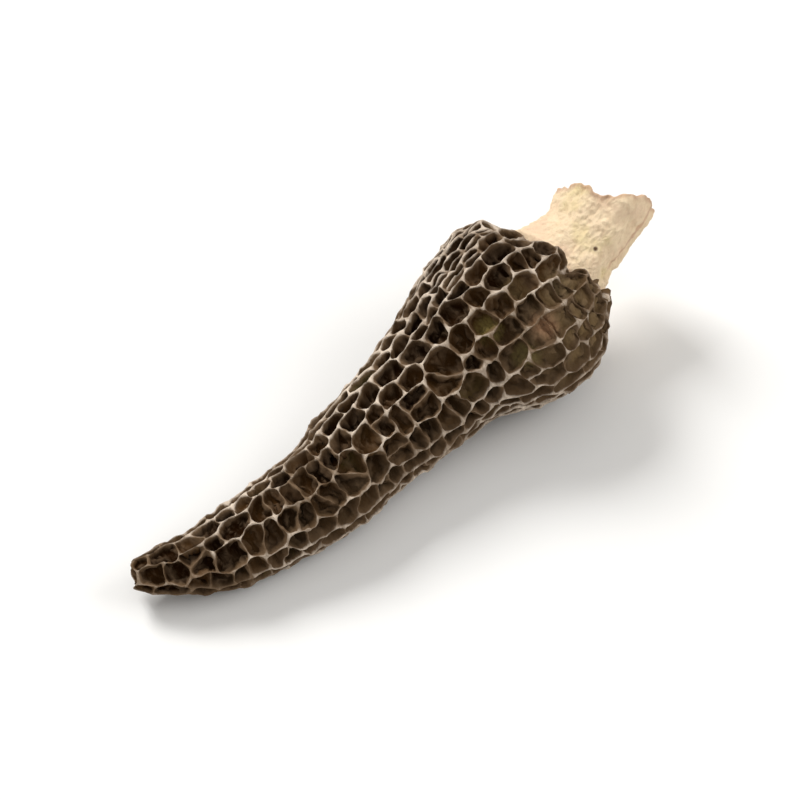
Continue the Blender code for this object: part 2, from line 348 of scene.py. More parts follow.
@dataclass(frozen=True)
class Skin:
    """The cap's smooth skin, and the strip of turn by height that it unrolls to.

    Args:
        spine: The mushroom's spine.
        outline: (distance along the spine, radius), from the tip to the edge at the stem.
        swellings: Slow swellings and hollows round the cap.
        edge_lobe: How far the edge at the stem stands out on its upper side, round which turn, and from where
            on along the spine.
        height_share: How high the section is for its width.
        pit_stretch: How long a pit is for its width.
        scallops: (lobes, how far they move the edge at the stem along the spine, phase).
        scallop_rise: How steeply the scallops come up towards that edge.
        crowding: By what share the columns of pits crowd together on two opposite sides, round which turn,
            and from where on along the spine they do so in full.
    """

    spine: Spine
    outline: tuple = (
        (0.0, 0.2),
        (0.5, 1.0),
        (2.3, 2.2),
        (6.0, 3.7),
        (13.0, 5.2),
        (21.0, 6.1),
        (29.0, 6.9),
        (37.0, 7.6),
        (45.2, 8.5),
        (50.4, 9.6),
        (55.0, 11.3),
        (58.8, 12.5),
        (62.0, 12.9),
        (64.5, 12.1),
        (66.0, 10.3),
        (66.6, 8.3),
    )
    swellings: tuple = ((2, 0.050, 0.6, 0.050), (3, 0.035, 2.1, -0.070), (5, 0.018, 4.0, 0.110))
    edge_lobe: tuple = (2.0, 2.1, 52.0)
    height_share: float = 0.92
    pit_stretch: float = 1.25
    scallops: tuple = ((7, 0.50, 1.0), (12, 0.62, 4.2), (19, 0.52, 2.6))
    scallop_rise: int = 6
    crowding: tuple = (0.34, 0.75, 30.0)

    def table(self) -> tuple[np.ndarray, np.ndarray, np.ndarray]:
        """Samples the outline.

        Returns:
            Distances along the spine, and the radii and the heights on the strip there.
        """
        along, radius = catmull_rom(self.outline).T
        steps = np.hypot(np.diff(along), np.diff(radius))
        middle = (radius[1:] + radius[:-1]) / 2
        return along, radius, np.concatenate([[0.0], np.cumsum(steps / middle / self.pit_stretch)])

    def points(self, strip: np.ndarray) -> np.ndarray:
        """Lays points of the strip on the skin.

        Args:
            strip: Rows of (turn, height).

        Returns:
            The points.
        """
        along_table, radius_table, height_table = self.table()
        along = np.interp(strip[:, 1], height_table, along_table)
        share, side, full = self.crowding
        turn = strip[:, 0] - share / 2 * np.minimum(along / full, 1.0) * np.sin(2 * (strip[:, 0] - side))
        radius = np.interp(strip[:, 1], height_table, radius_table) * swell(self.swellings, turn, along)
        length, facing, start = self.edge_lobe
        near_edge = np.maximum(along - start, 0.0) / (along_table[-1] - start)
        along = along + length * (near_edge * np.maximum(np.cos(turn - facing), 0.0)) ** 2
        along = along + near_edge**self.scallop_rise * shifted(self.scallops, turn)
        return self.spine.place(along, turn, radius, self.height_share)

    def middle(self, strip: np.ndarray) -> np.ndarray:
        """The points of the spine inside the skin at rows of (turn, height) of the strip."""
        along, _, heights = self.table()
        return self.spine.place(np.interp(strip[:, 1], heights, along), strip[:, 0], 0.0, 1.0)


@dataclass(frozen=True)
class Net:
    """The pits and ridges of the cap, laid out on its strip.

    Args:
        skin: The cap's skin.
        forks: (distance along the spine, columns of pits from there on).
        first_radius: The skin's radius at the first row of pits.
        turn_jitter: The share of a column's width by which a pit strays round the cap.
        row_jitter: The share of a column's width by which a pit strays along the cap.
        nearest: The share of a column's width under which two pits grow into one.
        straightness: How closely the ridges follow a ladder.
        tip_ghosts: How many points past the tip bound the first pits.
        ghost_shift: How far the points past the edge at the stem are drawn in.
    """

    skin: Skin
    forks: tuple = (
        (0.0, 8),
        (6.0, 11),
        (18.0, 14),
        (28.0, 16),
        (36.0, 18),
        (43.0, 21),
        (48.0, 26),
        (54.0, 32),
    )
    first_radius: float = 2.4
    turn_jitter: float = 0.20
    row_jitter: float = 0.24
    nearest: float = 0.66
    straightness: float = 0.75
    tip_ghosts: int = 3
    ghost_shift: float = 0.1

    def pits(self) -> tuple[list[Vector], list[Vector]]:
        """Draws the middles of the pits.

        Returns:
            The pits' middles on the strip, and the ghosts past both ends that only bound the last pits.
        """
        draw = random.Random(SEED)
        along, radius, heights = self.skin.table()
        widest = radius.argmax()
        height, end = float(np.interp(self.first_radius, radius[:widest], heights[:widest])), heights[-1]
        below = height - FULL_TURN / self.forks[0][1]
        ghosts = [Vector((FULL_TURN * ghost / self.tip_ghosts, below)) for ghost in range(self.tip_ghosts)]
        pits = []
        while True:
            here = np.interp(height, heights, along)
            columns = max(count for start, count in self.forks if start <= here)
            pitch = FULL_TURN / columns
            if height + pitch > end:
                break
            for column in range(columns):
                turn = pitch * (column + draw.uniform(-self.turn_jitter, self.turn_jitter))
                row = height + pitch * (column % 2 / 2 + draw.uniform(-self.row_jitter, self.row_jitter))
                pit = Vector((turn, row))
                if all(self.spacing(pit, other) >= self.nearest * pitch for other in pits):
                    pits.append(pit)
            height += pitch
        for column in range(columns):
            ghosts.append(Vector((pitch * column, end + pitch * (column % 2 / 2 - self.ghost_shift))))
        return pits, ghosts

    @staticmethod
    def spacing(pit: Vector, other: Vector) -> float:
        """How far apart two points of the strip are, the shorter way round the cap."""
        return math.hypot((pit.x - other.x + math.pi) % FULL_TURN - math.pi, pit.y - other.y)

    def junction(self, pits: list[Vector]) -> Vector:
        """Where the ridges between three pits meet: between their middle and the corner of a ladder.

        Args:
            pits: The middles of the three pits.

        Returns:
            The meeting point on the strip.
        """
        first, second, third = sorted(pits, key=lambda pit: pit.x)
        gaps = second.x - first.x, third.x - second.x
        mates, lone = ((first, second), third) if gaps[0] < gaps[1] else ((second, third), first)
        rung = (mates[0] + mates[1]) / 2
        ladder = Vector(((rung.x + lone.x) / 2, rung.y))
        clearness = 1 - min(gaps) / max(gaps)
        return ((first + second + third) / 3).lerp(ladder, self.straightness * clearness)

    def cells(self) -> list[list[Vector]]:
        """Finds the cells of the net, which are the dual of a Delaunay mesh of the pits.

        Returns:
            For each pit, the corners of its cell on the strip, anticlockwise.
        """
        pits, ghosts = self.pits()
        laid_out = [pit + Vector((FULL_TURN * copy, 0)) for copy in (0, -1, 1) for pit in pits + ghosts]
        _, _, triangles, origins, _, _ = delaunay_2d_cdt(laid_out, [], [], 0, SAME_POINT)
        corners_of: dict[int, list[Vector]] = {}
        for triangle in triangles:
            around = [origins[corner][0] for corner in triangle]
            for pit in around:
                corners_of.setdefault(pit, []).append(self.junction([laid_out[index] for index in around]))
        cells = []
        for pit in range(len(pits)):
            centre = laid_out[pit]
            corners = sorted(
                corners_of[pit], key=lambda spot: math.atan2(spot.y - centre.y, spot.x - centre.x)
            )
            cells.append(corners)
        return cells


@dataclass(frozen=True)
class Patch:
    """A region of the surface round a point.

    Args:
        middle: The point, in the row's frame.
        reach: How far the region reaches.
        tint: The colour that it brings, where it brings one.
        fray: The shares of its reach between which its frayed edge fades.
    """

    middle: tuple
    reach: float
    tint: tuple = ()
    fray: tuple = (1.5, 0.8)

    def share(self, graph: Graph, place: Socket, mottle: Socket) -> Socket:
        """How much a place belongs to the patch.

        Args:
            graph: The material's tree.
            place: The place on the surface.
            mottle: The mottling that frays the patch's edge.

        Returns:
            From 0 outside to 1 in the middle.
        """
        point = tuple(coordinate * MM for coordinate in self.middle)
        away = graph.vector("DISTANCE", place, point, output="Value")
        frayed = graph.math("MULTIPLY_ADD", mottle, self.reach * MM, away)
        return graph.ease(frayed, *(share * self.reach * MM for share in self.fray))

    def away(self, points: np.ndarray) -> float:
        """How far the middle of points that are laid out along the spine is from the patch's."""
        return (Vector(points.mean(axis=0)) + SPINE_START / MM - Vector(self.middle)).length


@dataclass(frozen=True)
class DryGrain:
    """The grain of dried flesh, a shader group that both finishes place with their own values.

    Args:
        streaks: The scale of its streaks.
        mottle: The scale of its mottling.
        specks: The scale of its specks.
        speck_share: How common the specks are, from 0 to 1.
    """

    streaks: float
    mottle: float
    specks: float
    speck_share: float

    @staticmethod
    def group() -> bpy.types.NodeTree:
        """Builds the group when it is first asked for.

        Returns:
            The group: a vector and its scales in, streaks, mottling and specks out.
        """
        name, soft_edge = "dry_grain", 0.05
        if name in bpy.data.node_groups:
            return bpy.data.node_groups[name]
        scales = dict.fromkeys(("Streak Scale", "Mottle Scale", "Speck Scale", "Speck Share"), "Float")
        outputs = dict.fromkeys(("Streaks", "Mottle", "Specks"), "Float")
        graph, given = new_tree(name, "ShaderNodeTree", {"Vector": "Vector", **scales}, outputs)
        streaks = graph.noise(given["Vector"], given["Streak Scale"], detail=5.0, roughness=0.65)
        mottle = graph.noise(given["Vector"], given["Mottle Scale"], detail=3.0, roughness=0.6)
        dots = graph.noise(given["Vector"], given["Speck Scale"], detail=1.0)
        share = graph.math("SUBTRACT", 1.0, given["Speck Share"])
        specks = graph.ease(dots, share, graph.math("ADD", share, soft_edge))
        graph.add("NodeGroupOutput", {"Streaks": streaks, "Mottle": mottle, "Specks": specks})
        return graph.tree

    def place(self, graph: Graph, vector: Socket) -> dict:
        """Places the group in a material.

        Args:
            graph: The material's tree.
            vector: What the patterns are laid out on.

        Returns:
            The group's outputs by name.
        """
        values = {
            "Vector": vector,
            "Streak Scale": self.streaks,
            "Mottle Scale": self.mottle,
            "Speck Scale": self.specks,
            "Speck Share": self.speck_share,
        }
        node = graph.add("ShaderNodeGroup", values, node_tree=self.group())
        return {output.name: output for output in node.outputs}


@dataclass(frozen=True)
class Finish:
    """What the finishes of dried flesh have in common.

    Args:
        grain: The scales of its grain.
        relief: The weight of the mottling in the grain's relief, its strength, and its height.
        specular: How much it shines.
        roughness: How matte it is.
    """

    grain: DryGrain
    relief: tuple
    specular: float
    roughness: float = 0.85

    def dress(self, graph: Graph, shader: bpy.types.Node, colour: Socket, grain: dict) -> None:
        """Gives a shader its colour and the relief of its grain.

        Args:
            graph: The material's tree.
            shader: The shader.
            colour: The finished colour.
            grain: The placed grain's outputs.
        """
        mottling, strength, height = self.relief
        raised = graph.math("MULTIPLY_ADD", grain["Mottle"], mottling, grain["Streaks"])
        bump = graph.add("ShaderNodeBump", {"Strength": strength, "Distance": height * MM, "Height": raised})
        graph.feed(shader.inputs["Base Color"], colour)
        graph.feed(shader.inputs["Normal"], bump.outputs[0])
        graph.feed(shader.inputs["Roughness"], self.roughness)
        graph.feed(shader.inputs["Specular IOR Level"], self.specular)


@dataclass(frozen=True)
class CapFinish(Finish):
    """The dry, dark flesh of the cap, with its ridges worn pale.

    Args:
        stretch: How many times finer the grain is along the cap, sideways and up.
        patch_scale: The scale of the broad patches of paler flesh.
        wear: The factor and the shift that turn a ridge's wear into how wide its pale top is.
        ridge_fray: How far the streaks fray the ridges' edges.
        ridge_edge: How deep in a pit a ridge's frayed colour ends, and how deep it is full.
        ridge_dark: The darkest colour of a ridge.
        ridge_light: The palest colour of a ridge.
        paleness: The weights of wear, patches, mottling and streaks in how pale a ridge is.
        pale_range: Where on their sum a ridge is darkest, and where palest.
        dull: The regions where the ridges are less pale, and how much less pale they are: in the first two
            they aren't worn pale, and the third, low on the near flank by the floor, is painted shade.
        painted_floor_shade: The heights between which the ridges near the floor turn less pale, and how much:
            painted shade, for the shadow under the cap by the floor.
        wall: The colour of a pit's wall.
        wall_range: How deep in a pit its wall's colour starts to fade to the floor's, and ends.
        floor: The colour of the darkest floors.
        pale_floor: The colour of the palest of the brown floors.
        pale_hues: Between which hues a floor turns paler, and its shares of that colour there.
        olive: The colour of the few greenish floors.
        olive_hues: The same for it.
        hue_patches: The weight of the broad patches in a floor's hue.
        flank: The colour of the floors on one side of the cap.
        flank_range: Where on the way to that side the colour starts, where it is full, and its share there.
        filled: The region where the pits are shallow, and the colour of their floors.
        filled_highlight_depths: Between which depths that colour comes up, and its shares there: the low
            share is the region's own paler floors, and the rise to nearly full at each floor's middle is a
            painted highlight on the domed floors, which leaves their edges darker as painted shade.
        crowded: The region where the pits are narrow, and how far their colour is taken towards the darkest
            floor's: painted shade, for the shadow inside narrow pits.
        folds: Between which values of the streaks the pits' folds take on the ridges' dark colour, and its
            shares there.
        veins: The veins' share of that colour.
        stains: The patches that have dried in a tint of their own.
        stain_streaks: Between which values of the streaks a stain comes up, and its shares there.
    """

    grain: DryGrain = DryGrain(1100.0, 330.0, 2400.0, 0.30)
    relief: tuple = (0.5, 0.9, 0.3)
    specular: float = 0.03
    stretch: tuple = (2.4, 1.0, 1.0)
    patch_scale: float = 95.0
    wear: tuple = (0.24, -0.13)
    ridge_fray: float = 0.50
    ridge_edge: tuple = (0.52, 0.25)
    ridge_dark: tuple = (0.18, 0.120, 0.073, 1.0)
    ridge_light: tuple = (0.70, 0.585, 0.470, 1.0)
    paleness: tuple = (2.2, 1.6, 1.0, 1.0)
    pale_range: tuple = (1.50, 2.40)
    # The third region, low on the near flank beside the floor, is painted shade; in the other two the ridges
    # aren't worn pale.
    dull: tuple = (
        (Patch((22.0, -7.5, 16.0), 10.0), Patch((-34.0, -6.0, 2.0), 10.0), Patch((24.0, -8.0, 3.0), 6.0)),
        -0.30,
    )
    # Painted shade: the ridges turn less pale towards the floor, where shadow falls under the cap.
    painted_floor_shade: tuple = (3.5, 0.5, -0.45)
    wall: tuple = (0.135, 0.083, 0.045, 1.0)
    wall_range: tuple = (0.22, 0.74)
    floor: tuple = (0.015, 0.0050, 0.0006, 1.0)
    pale_floor: tuple = (0.078, 0.036, 0.011, 1.0)
    pale_hues: tuple = (0.65, 1.15, 0.0, 0.8)
    olive: tuple = (0.090, 0.072, 0.022, 1.0)
    olive_hues: tuple = (1.28, 1.45, 0.0, 0.8)
    hue_patches: float = 0.8
    flank: tuple = (0.130, 0.080, 0.040, 1.0)
    flank_range: tuple = (-3.0, -9.0, 0.70)
    filled: Patch = Patch((22.0, -7.5, 16.0), 9.0, (0.18, 0.118, 0.056, 1.0))
    filled_highlight_depths: tuple = (0.80, 1.0, 0.25, 0.95)
    # Painted shade: the narrow pits in this region are darkened towards the darkest floor's colour.
    crowded: tuple = (Patch((15.5, 9.5, 18.0), 7.0), 0.8)
    folds: tuple = (0.48, 0.72, 0.0, 0.20)
    veins: float = 0.38
    stains: tuple = (
        Patch((17.4, -7.0, 17.8), 2.8, (0.40, 0.230, 0.13, 1.0)),
        Patch((11.9, -3.2, 17.8), 2.3, (0.215, 0.165, 0.052, 1.0)),
        Patch((14.3, -7.8, 15.6), 2.6, (0.175, 0.135, 0.050, 1.0)),
        Patch((21.8, -4.3, 20.0), 2.6, (0.210, 0.145, 0.075, 1.0)),
        Patch((16.8, -2.2, 21.0), 2.2, (0.140, 0.092, 0.042, 1.0)),
    )
    stain_streaks: tuple = (0.30, 0.55, 0.25, 0.8)

    def material(self) -> bpy.types.Material:
        """Builds the material.

        Returns:
            The material.
        """
        material, graph, shader = new_material("dried_cap_finish")
        place = graph.add("ShaderNodeTexCoord").outputs["Object"]
        grain = self.grain.place(graph, graph.vector("MULTIPLY", place, self.stretch))
        patches = graph.noise(place, self.patch_scale, detail=3.0)
        worn = graph.math("MULTIPLY_ADD", graph.mark(Mark.WORN), *self.wear)
        sunk = graph.mark(Mark.SUNK)
        depth = graph.weighted((sunk, 1.0), (worn, -1.0), (grain["Streaks"], self.ridge_fray))
        ridge = graph.ease(depth, *self.ridge_edge)
        ridges = self.ridges(graph, place, grain, patches, worn)
        pits = self.pits(graph, place, grain, patches, sunk)
        self.dress(graph, shader, graph.mix(ridge, pits, ridges), grain)
        return material

    def ridges(self, graph: Graph, place: Socket, grain: dict, patches: Socket, worn: Socket) -> Socket:
        """Wires the colour of the ridges.

        Args:
            graph: The material's tree.
            place: The place on the surface.
            grain: The placed grain's outputs.
            patches: The noise of the broad patches.
            worn: How wide a ridge's pale top is.

        Returns:
            The colour.
        """
        parts = worn, patches, grain["Mottle"], grain["Streaks"]
        pale = graph.weighted(*zip(parts, self.paleness))
        # Less pale ridges in the dull regions; in the third of them this is painted shade by the floor.
        regions, duller = self.dull
        for region in regions:
            pale = graph.math("MULTIPLY_ADD", region.share(graph, place, grain["Mottle"]), duller, pale)
        # Painted shade: the ridges darken within a few millimetres of the floor, where shadow falls under the
        # cap.
        top, bottom, floor_shade_drop = self.painted_floor_shade
        near_floor = graph.ease(graph.parts(place)[2], top * MM, bottom * MM)
        pale = graph.math("MULTIPLY_ADD", near_floor, floor_shade_drop, pale)
        return graph.mix(graph.ease(pale, *self.pale_range), self.ridge_dark, self.ridge_light)

    def pits(self, graph: Graph, place: Socket, grain: dict, patches: Socket, sunk: Socket) -> Socket:
        """Wires the colour of the pits' walls and floors.

        Args:
            graph: The material's tree.
            place: The place on the surface.
            grain: The placed grain's outputs.
            patches: The noise of the broad patches.
            sunk: How deep in a pit the place is.

        Returns:
            The colour.
        """
        mottle, streaks = grain["Mottle"], grain["Streaks"]
        hue = graph.weighted((graph.mark(Mark.HUE), 1.0), (patches, self.hue_patches))
        floors = graph.mix(graph.ease(hue, *self.pale_hues), self.floor, self.pale_floor)
        floors = graph.mix(graph.ease(hue, *self.olive_hues), floors, self.olive)
        start, full, most = self.flank_range
        flank = graph.ease(graph.parts(place)[1], start * MM, full * MM, 0.0, most)
        floors = graph.mix(flank, floors, self.flank)
        # Painted highlight: the filled region's paler tint rises towards each floor's middle, as light on a
        # domed floor; its low share over the whole floor is the region's own paler colour.
        deep = graph.ease(sunk, *self.filled_highlight_depths)
        filled = graph.math("MULTIPLY", self.filled.share(graph, place, mottle), deep)
        floors = graph.mix(filled, floors, self.filled.tint)
        pits = graph.mix(graph.ease(sunk, *self.wall_range), self.wall, floors)
        pits = graph.mix(graph.ease(streaks, *self.folds), pits, self.ridge_dark)
        pits = graph.mix(graph.math("MULTIPLY", graph.mark(Mark.VEIN), self.veins), pits, self.ridge_dark)
        # Painted shade: the narrow, crowded pits are darkened towards the darkest floor's colour to stand for
        # the shadow inside them.
        region, most = self.crowded
        crowded = graph.math("MULTIPLY", region.share(graph, place, mottle), most)
        pits = graph.mix(crowded, pits, self.floor)
        streaked = graph.ease(streaks, *self.stain_streaks)
        for stain in self.stains:
            share = graph.math("MULTIPLY", stain.share(graph, place, mottle), streaked)
            pits = graph.mix(share, pits, stain.tint)
        return pits


@dataclass(frozen=True)
class StemFinish(Finish):
    """The cream, fibrous flesh of the stem, browned at its cut rim.

    Args:
        stretch: How the grain is stretched along the stem.
        cream: The main colour.
        tan: The colour of the furrows between the fibres.
        furrows: Between which values of the streaks a furrow comes up, and its shares of that colour there.
        mottles: The same for the mottling.
        blotch_scale: The scale of the blotches.
        warm: The tint of the pinkish blotches.
        warm_range: Between which values of their noise they come up, and the shares of their tint there.
        yellow: The tint of the yellowish blotches.
        yellow_range: The same for them.
        speck: The colour of the few dark specks.
        speck_share: The specks' share of it.
        spot: The one larger dark spot.
        inside_tan: The share of tan inside the hollow.
        rim: The colour of the cut rim.
        rim_mottling: How far the mottling frays its colour.
        rim_range: Between which sums of nearness and mottling that colour comes up, and its shares there.
    """

    grain: DryGrain = DryGrain(2.6, 0.7, 1.7, 0.24)
    relief: tuple = (0.6, 0.8, 0.5)
    specular: float = 0.2
    stretch: tuple = (1.0, 0.65, 1.0)
    cream: tuple = (0.90, 0.715, 0.485, 1.0)
    tan: tuple = (0.66, 0.45, 0.27, 1.0)
    furrows: tuple = (0.58, 0.36, 0.0, 0.30)
    mottles: tuple = (0.5, 0.8, 0.0, 0.5)
    blotch_scale: float = 210.0
    warm: tuple = (0.80, 0.54, 0.38, 1.0)
    warm_range: tuple = (0.48, 0.70, 0.0, 0.55)
    yellow: tuple = (0.80, 0.66, 0.34, 1.0)
    yellow_range: tuple = (0.47, 0.30, 0.0, 0.65)
    speck: tuple = (0.10, 0.055, 0.03, 1.0)
    speck_share: float = 0.8
    spot: Patch = Patch((30.6, -1.7, 17.8), 0.42)
    inside_tan: float = 0.55
    rim: tuple = (0.52, 0.27, 0.17, 1.0)
    rim_mottling: float = 0.8
    rim_range: tuple = (0.85, 1.4, 0.0, 0.58)

    def material(self) -> bpy.types.Material:
        """Builds the material.

        Returns:
            The material.
        """
        material, graph, shader = new_material("dried_stem_finish")
        uv = graph.add("ShaderNodeUVMap", uv_map="skin").outputs[0]
        fibres = graph.add("ShaderNodeMapping", {"Vector": uv, "Scale": self.stretch}).outputs[0]
        grain = self.grain.place(graph, fibres)
        place = graph.add("ShaderNodeTexCoord").outputs["Object"]
        blotches = graph.noise(place, self.blotch_scale, detail=4.0)
        colour = self.cream
        for value, bounds, tint in (
            (grain["Streaks"], self.furrows, self.tan),
            (grain["Mottle"], self.mottles, self.tan),
            (blotches, self.warm_range, self.warm),
            (blotches, self.yellow_range, self.yellow),
        ):
            colour = graph.mix(graph.ease(value, *bounds), colour, tint)
        colour = graph.mix(graph.math("MULTIPLY", grain["Specks"], self.speck_share), colour, self.speck)
        colour = graph.mix(self.spot.share(graph, place, grain["Mottle"]), colour, self.speck)
        colour = graph.mix(graph.math("MULTIPLY", graph.mark(Mark.INSIDE), self.inside_tan), colour, self.tan)
        browned = graph.weighted((graph.mark(Mark.RIM), 1.0), (grain["Mottle"], self.rim_mottling))
        colour = graph.mix(graph.ease(browned, *self.rim_range), colour, self.rim)
        self.dress(graph, shader, colour, grain)
        return material


def finish_piece(name: str, mesh: bpy.types.Mesh, node: str) -> bpy.types.Object:
    """Puts a finished mesh on the mushroom's body in place of a solid.

    Args:
        name: The piece's name.
        mesh: The mesh, in the row's frame.
        node: The solid that the piece stands for.

    Returns:
        The piece.
    """
    mesh.name = name
    piece = new_object(name, mesh)
    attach(piece, "root")
    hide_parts(node)
    mesh.calc_loop_triangles()
    log.info("%s: %d triangles", name, len(mesh.loop_triangles))
    return piece


@dataclass(frozen=True)
class Step:
    """One step of a pit's wall, from the ridge inwards.

    Args:
        sideways: How far the wall is drawn towards the pit's middle.
        drop: How far it sinks whatever the pit's depth.
        share: How far it sinks for the pit's depth.
        sunk: How deep in the pit the new edge counts as, from 0 to 1.
    """

    sideways: float
    drop: float
    share: float
    sunk: float


@dataclass(frozen=True)
class Cap:
    """The cap: a net of ridges raised over deep pits, with a lip turned in to the stem.

    Args:
        net: The layout of its pits.
        corner_spacing: The length of ridge between two corners of the rough mesh.
        weld: How near two of those corners are when they are joined.
        wander: How far a ridge stands out of or sinks below the skin, and how fast that changes.
        waver: How far a ridge wavers sideways, and how fast that changes.
        crinkle: How far a ridge jags in and out, and how fast that changes.
        rung_dip: How far the ridges that cross the cap sag between junctions.
        short_rung: The length under which such a ridge sags less.
        rung_wear: How worn a ridge is between junctions, and how much less where it sags, from 0 to 1.
        longest_pit: How long a pit can be before a low rung parts it.
        low_rung: That rung's share of the sag, and how worn it is.
        crowded: The region where an even ridge parts the pits lengthwise.
        widest_crowded: How wide a pit can be there before it is parted.
        even_ridge: That ridge's share of the sag, and how worn it is.
        calm_tip: How far from the tip the ridges waver and kink in full, and the share of each at the tip.
        pit_depth: The depth of a large pit.
        deepest_share: The most that a pit sinks, as a share of the way to the spine.
        depth_spread: By what share the depth varies.
        tip_depth: The depth of the pit that ends the tip.
        filled: The region where the pits are shallower, and by what share.
        steps: The steps of a pit's wall.
        most_drawn_in: The largest share of the way to a pit's middle that one step takes.
        lumps: How high the lumps on the ridges are, and their scale.
        floor_roughness: How much higher they and the folds are on the pits' floors.
        folds: The scale of the folds on the floors, and how they and the veins are stretched.
        veins: How high the fine veins on the floors stand, their scale, and how wide they are.
        kinks: How far the dried ridges and walls are kinked any way, and the scale of the kinks.
        bare_sunk: How deep in a pit the lip counts as for its colour, from 0 to 1.
        lip_radii: The radii of the lip behind the last row.
        lip_step: How far apart they are along the spine.
        lip_floor: Where the lip closes behind the stem's root, along the spine.
    """

    net: Net
    corner_spacing: float = 1.05
    weld: float = 0.01
    wander: tuple = (0.30, 0.21)
    waver: tuple = (0.55, 0.45)
    crinkle: tuple = (0.42, 1.05)
    rung_dip: float = 0.55
    short_rung: float = 3.0
    rung_wear: tuple = (0.75, 0.55)
    longest_pit: float = 5.2
    low_rung: tuple = (1.2, 0.3)
    crowded: Patch = Patch((15.5, 9.0, 18.0), 6.5)
    widest_crowded: float = 2.05
    even_ridge: tuple = (0.2, 1.0)
    calm_tip: tuple = (12.0, 0.3, 0.4)
    pit_depth: float = 1.75
    deepest_share: float = 0.30
    depth_spread: float = 0.14
    tip_depth: float = 0.35
    filled: tuple = (Patch((22.0, -7.5, 16.0), 13.0), 0.85)
    steps: tuple = (
        Step(0.05, 0.06, 0.00, 0.17),
        Step(0.06, 0.34, 0.04, 0.48),
        Step(0.20, 0.05, 0.46, 0.72),
        Step(0.46, -0.22, 0.42, 0.88),
        Step(0.62, -0.50, 0.40, 1.00),
    )
    most_drawn_in: float = 0.30
    lumps: tuple = (0.22, 650.0)
    floor_roughness: float = 0.40
    folds: tuple = (620.0, (2.2, 0.8, 0.8))
    veins: tuple = (0.50, 330.0, 0.08)
    kinks: tuple = (1.25, 620.0)
    bare_sunk: float = 0.7
    lip_radii: tuple = (7.9, 7.0)
    lip_step: float = 0.35
    lip_floor: float = 61.2

    def build(self) -> bpy.types.Object:
        """Builds and dresses the cap.

        Returns:
            The finished piece.
        """
        rough = self.rough_mesh()
        carrier = new_object("cap_net", rough)
        self.add_pits(carrier, CapFinish().material())
        evaluated = carrier.evaluated_get(bpy.context.evaluated_depsgraph_get())
        mesh = bpy.data.meshes.new_from_object(evaluated)
        bpy.data.objects.remove(carrier)
        bpy.data.meshes.remove(rough)
        return finish_piece("netted_cap", mesh, "cap")

    def outline_of(self, cell: list[Vector]) -> tuple[np.ndarray, list[float], list[float]]:
        """Splits a cell's edges.

        Args:
            cell: The cell's corners on the strip.

        Returns:
            The strip's points round the cell, how far each sags, and how worn each is, from 0 to 1.
        """
        corners = self.net.skin.points(np.array([tuple(corner) for corner in cell]))
        worn, less = self.rung_wear
        points, sags, wear = [], [], []
        for index, corner in enumerate(cell):
            after = (index + 1) % len(cell)
            length = np.linalg.norm(corners[after] - corners[index])
            count = max(1, round(length / self.corner_spacing))
            way = cell[after] - corner
            crossing = (way.x / max(way.length, SAME_POINT)) ** 2
            for step in range(count):
                points.append(tuple(corner.lerp(cell[after], step / count)))
                sag = crossing * math.sin(math.pi * step / count)
                sags.append(self.rung_dip * sag * min(1.0, length / self.short_rung))
                wear.append(1.0 if step == 0 else worn - less * sag)
        return np.array(points), sags, wear

    def parted(self, strip: np.ndarray, sags: list[float], wear: list[float]) -> list[tuple]:
        """Parts a long pit in two by a low rung across it, and a crowded one by an even ridge along it.

        Args:
            strip: The strip's points round the pit.
            sags: How far the ridge sags at each.
            wear: How worn it is at each.

        Returns:
            The points, sags and wear round each part, or round the whole pit where it stays one.
        """
        count = len(strip)
        half = count // 2
        places = self.net.skin.points(strip)
        gaps = np.linalg.norm(places - np.roll(places, -half, axis=0), axis=1)
        if self.crowded.away(places) < self.crowded.reach and gaps.min() > self.widest_crowded:
            turns = np.abs(strip[:, 0] - np.roll(strip[:, 0], -half))
            first, (low, worn) = int(turns.argmin()), self.even_ridge
        elif gaps.max() >= self.longest_pit:
            first, (low, worn) = int(gaps.argmin()), self.low_rung
        else:
            return [(strip, sags, wear)]
        order = [(first + step) % count for step in range(count)]
        shares = np.linspace(0, 1, max(2, round(gaps[first] / self.corner_spacing)) + 1)[1:-1]
        rung = strip[order[0]] + (strip[order[half]] - strip[order[0]]) * shares[:, None]
        dips = [self.rung_dip * low * math.sin(math.pi * share) for share in shares]
        parts = []
        for corners, across in ((order[: half + 1], -1), (order[half:] + order[:1], 1)):
            points = np.concatenate([strip[corners], rung[::across]])
            sagging = [sags[index] for index in corners] + dips[::across]
            parts.append((points, sagging, [wear[index] for index in corners] + [worn] * len(dips)))
        return parts

    def ridge_point(self, place: np.ndarray, inwards: Vector, sag: float) -> Vector:
        """Moves a point of the skin to where the ridge really runs.

        Args:
            place: The point on the smooth skin.
            inwards: The way to the spine, one long.
            sag: How far the ridge sags there.

        Returns:
            The ridge's point.
        """
        point = Vector(place)
        amount, per_mm = self.wander
        out = amount * noise.noise(point * per_mm) - sag
        shift = smooth_noise(point, *self.waver)
        shift -= inwards * shift.dot(inwards)
        shift += smooth_noise(point, *self.crinkle)
        full, at_tip, _ = self.calm_tip
        moved = point - inwards * out + shift * min(1.0, at_tip + point.x / full)
        moved.z = max(moved.z, 0.0)
        return moved

